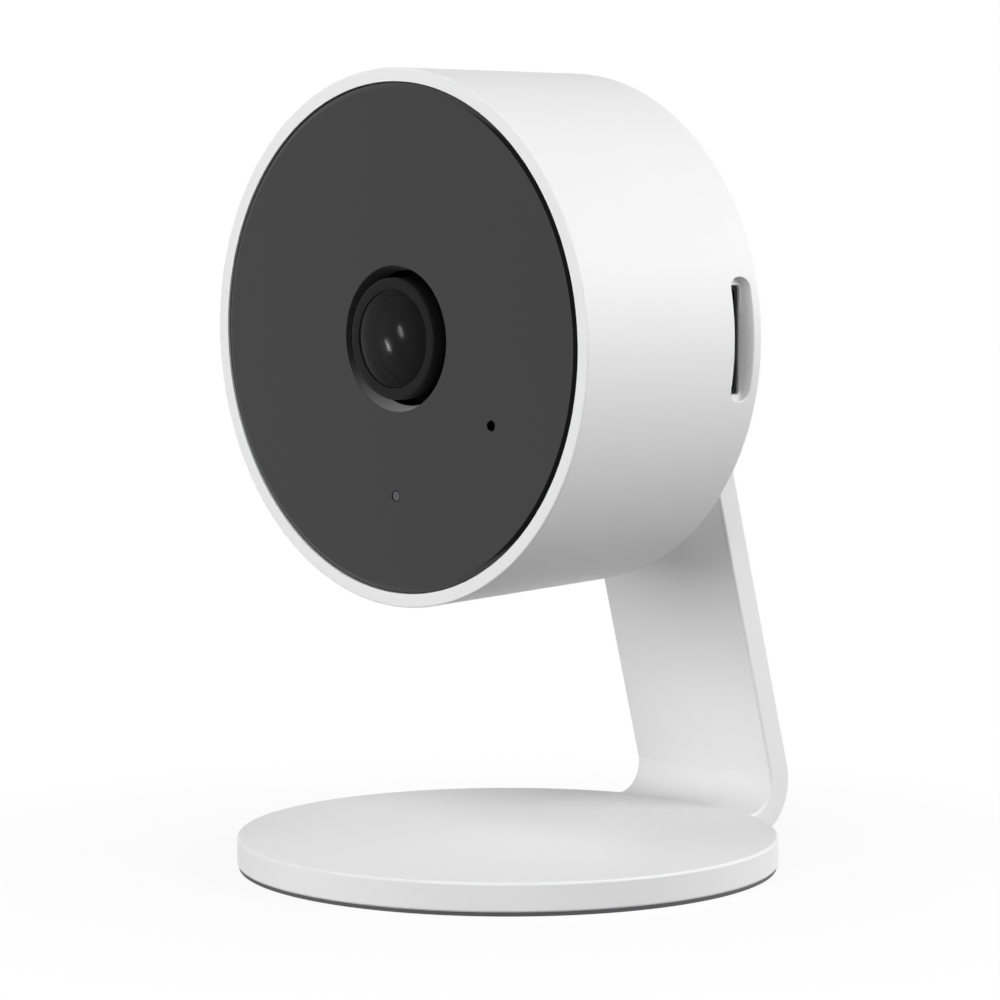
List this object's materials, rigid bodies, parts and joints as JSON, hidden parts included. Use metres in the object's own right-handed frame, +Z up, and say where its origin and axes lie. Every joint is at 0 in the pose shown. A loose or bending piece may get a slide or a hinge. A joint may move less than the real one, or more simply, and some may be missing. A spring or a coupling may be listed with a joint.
{
  "type": "security camera",
  "caption": "Indoor security camera: a drum-shaped head with a dark round window and central lens, on a ball joint at the top of a flat arm bent up from a disc base.",
  "frame": {"origin": "centre of the foot pad's underside, on the surface that the camera stands on", "axes": "+Z up, the lens looks along -Y, +X is the side with the memory card slot"},
  "size_m": [0.063, 0.0681, 0.0926],
  "materials": {
    "white_plastic": "satin moulded ABS",
    "window": "dark tinted acrylic",
    "foot_rubber": "matt silicone rubber",
    "soft_rubber": "matt black rubber and foam",
    "steel": "zinc plated steel",
    "bright_steel": "polished steel",
    "lens_body": "black anodised aluminium",
    "glass": "coated optical glass",
    "filter_glass": "filter glass",
    "black_plastic": "black moulded plastic",
    "nylon": "natural nylon",
    "light_pipe": "clear acrylic, seen dark",
    "board": "green solder mask",
    "chip": "moulded chip package",
    "led_clear": "clear epoxy",
    "tape": "black adhesive tape",
    "flex": "polyimide film",
    "copper": "enamelled copper winding"
  },
  "bodies": {
    "stand": {"stand_bracket": "white_plastic", "foot_pad": "foot_rubber", "base_weight": "steel", "arm_screw_cap": "white_plastic", "ball_stud": "bright_steel", "ball_stud_screw": "steel"},
    "cup": {"friction_cup": "nylon"},
    "head": {"head_shell": "white_plastic", "front_window": "window", "mic_boot": "soft_rubber", "lens_shade": "soft_rubber", "speaker_gasket": "soft_rubber", "clamp_screws": "steel", "chassis_screws": "steel", "led_screws": "steel", "sensor_screws": "steel", "usb_shell": "steel", "processor_shield": "steel", "microphone": "steel", "lens_barrel": "lens_body", "lens_front_glass": "glass", "lens_rear_glass": "glass", "ball_clamp": "black_plastic", "chassis": "black_plastic", "lens_holder": "black_plastic", "filter_base": "black_plastic", "lens_stop": "black_plastic", "usb_tongue": "black_plastic", "card_socket": "black_plastic", "speaker_basket": "black_plastic", "speaker_cone": "black_plastic", "switch_body": "black_plastic", "flex_connectors": "black_plastic", "light_pipe": "light_pipe", "led_board": "board", "sensor_board": "board", "main_board": "board", "image_sensor": "chip", "processor": "chip", "memory_chip": "chip", "radio_module": "chip", "ir_leds": "led_clear", "status_led": "led_clear", "window_tape": "tape", "sensor_flex": "flex", "aerial": "flex", "filter_coil": "copper"},
    "shuttle": {"filter_shuttle": "black_plastic", "day_filter": "filter_glass", "night_filter": "filter_glass"},
    "button": {"reset_button": "white_plastic", "switch_plunger": "black_plastic"}
  },
  "joints": [
    {"name": "pan", "type": "hinge", "parent": "stand", "child": "cup", "pos_m": [0, 0.00653, 0.06223], "axis": [0, 0, 1], "range_deg": [-20, 20]},
    {"name": "tilt", "type": "hinge", "parent": "cup", "child": "head", "pos_m": [0, 0.00653, 0.06223], "axis": [1, 0, 0], "range_deg": [-20, 15]},
    {"name": "filter_switch", "type": "slide", "parent": "head", "child": "shuttle", "axis": [-1, 0, 0], "range_m": [0, 0.0058]},
    {"name": "reset_press", "type": "slide", "parent": "head", "child": "button", "axis": [0, -1, 0], "range_m": [0, 0.0003], "stiffness_N_per_m": 600, "springref_m": -0.0003}
  ]
}
